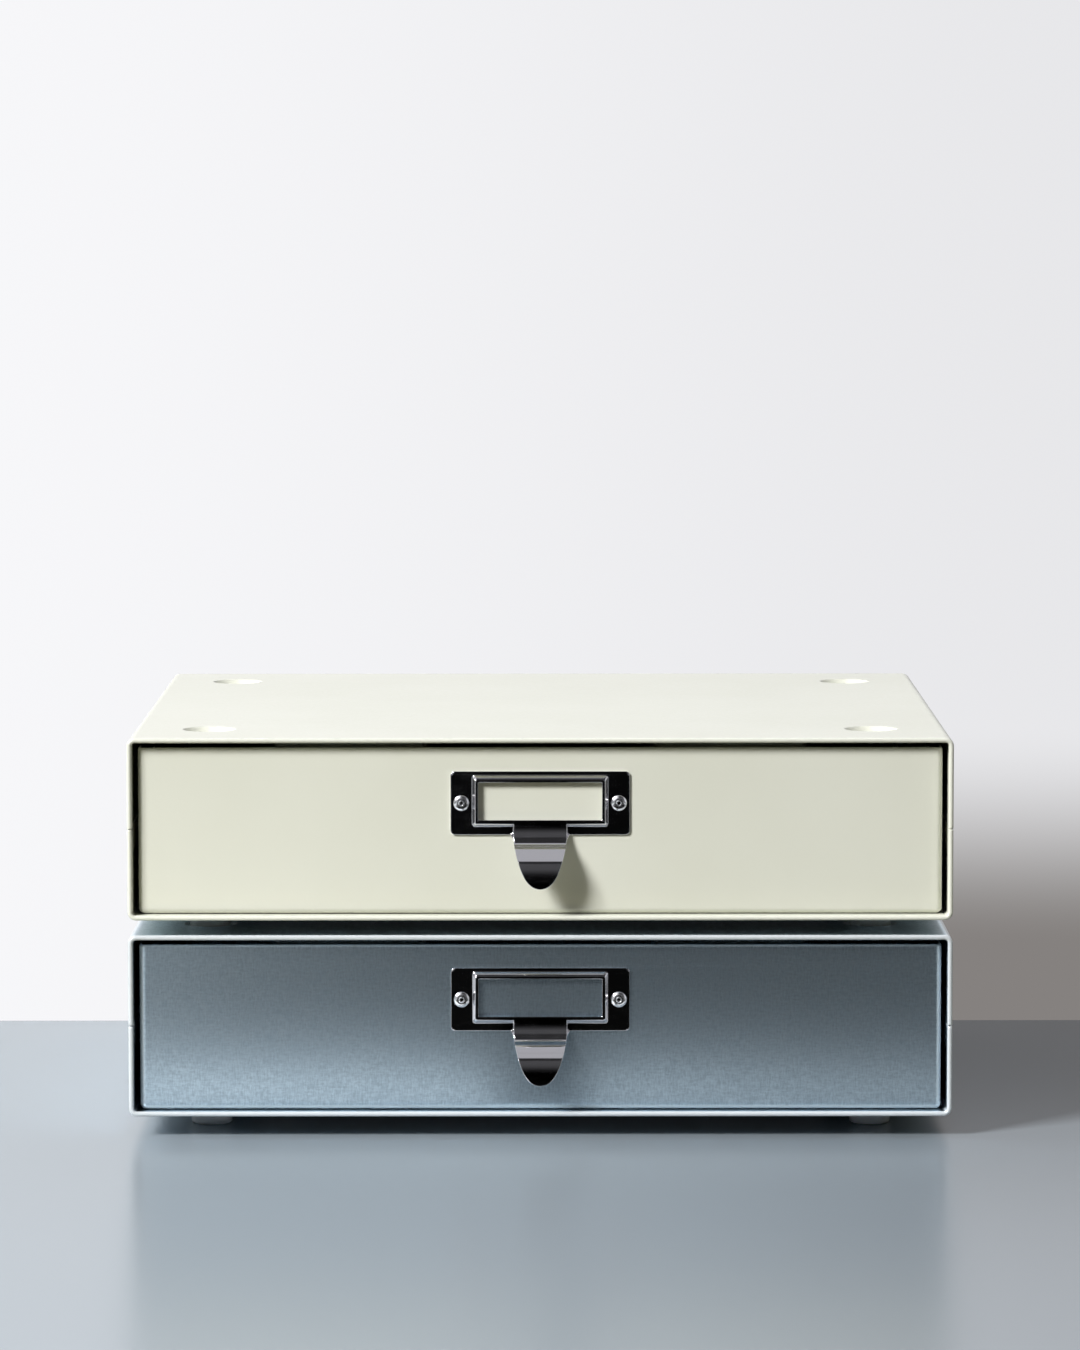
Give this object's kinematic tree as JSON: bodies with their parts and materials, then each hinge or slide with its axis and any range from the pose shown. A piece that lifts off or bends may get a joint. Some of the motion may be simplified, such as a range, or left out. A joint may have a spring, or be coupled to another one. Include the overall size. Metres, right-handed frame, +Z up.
{
  "type": "stacking desk drawer unit",
  "caption": "Stacked flat sheet-steel desk drawer units with hemmed cases, sliding drawers, label-window finger pulls and clear feet standing in top dimples.",
  "frame": {"origin": "middle of the whole object's footprint, on the surface that the lower feet stand on", "axes": "+X to the right seen from the front, +Y to the back, +Z up; the drawers open towards -Y"},
  "size_m": [0.34, 0.2966, 0.1658],
  "materials": {
    "cream_paint": "satin powder coat, pale cream green",
    "steel_blue_finish": "metallic blue-grey coat with a fine mottled grain",
    "chrome_pull": "bright chrome plate",
    "rivet_aluminium": "bright satin",
    "clear_foot": "clear, glossy"
  },
  "bodies": {
    "lower_case": {"lower_case_upper_shell": "steel_blue_finish", "lower_case_lower_shell": "steel_blue_finish", "lower_case_back_panel": "steel_blue_finish", "lower_stiffener_left": "steel_blue_finish", "lower_stiffener_right": "steel_blue_finish", "lower_foot_front_left": "clear_foot", "lower_foot_front_right": "clear_foot", "lower_foot_back_left": "clear_foot", "lower_foot_back_right": "clear_foot"},
    "lower_drawer": {"lower_drawer_front": "steel_blue_finish", "lower_drawer_pan": "steel_blue_finish", "lower_drawer_back": "steel_blue_finish", "lower_label_pull": "chrome_pull", "lower_pull_rivets": "rivet_aluminium"},
    "upper_case": {"upper_case_upper_shell": "cream_paint", "upper_case_lower_shell": "cream_paint", "upper_case_back_panel": "cream_paint", "upper_stiffener_left": "cream_paint", "upper_stiffener_right": "cream_paint", "upper_foot_front_left": "clear_foot", "upper_foot_front_right": "clear_foot", "upper_foot_back_left": "clear_foot", "upper_foot_back_right": "clear_foot"},
    "upper_drawer": {"upper_drawer_front": "cream_paint", "upper_drawer_pan": "cream_paint", "upper_drawer_back": "cream_paint", "upper_label_pull": "chrome_pull", "upper_pull_rivets": "rivet_aluminium"}
  },
  "joints": [
    {"name": "lower_drawer_slide", "type": "slide", "parent": "lower_case", "child": "lower_drawer", "axis": [0, -1, 0], "range_m": [0, 0.2]},
    {"name": "upper_unit_lift", "type": "slide", "parent": "lower_case", "child": "upper_case", "axis": [0, 0, 1], "range_m": [0, 0.12]},
    {"name": "upper_drawer_slide", "type": "slide", "parent": "upper_case", "child": "upper_drawer", "axis": [0, -1, 0], "range_m": [0, 0.2]}
  ]
}
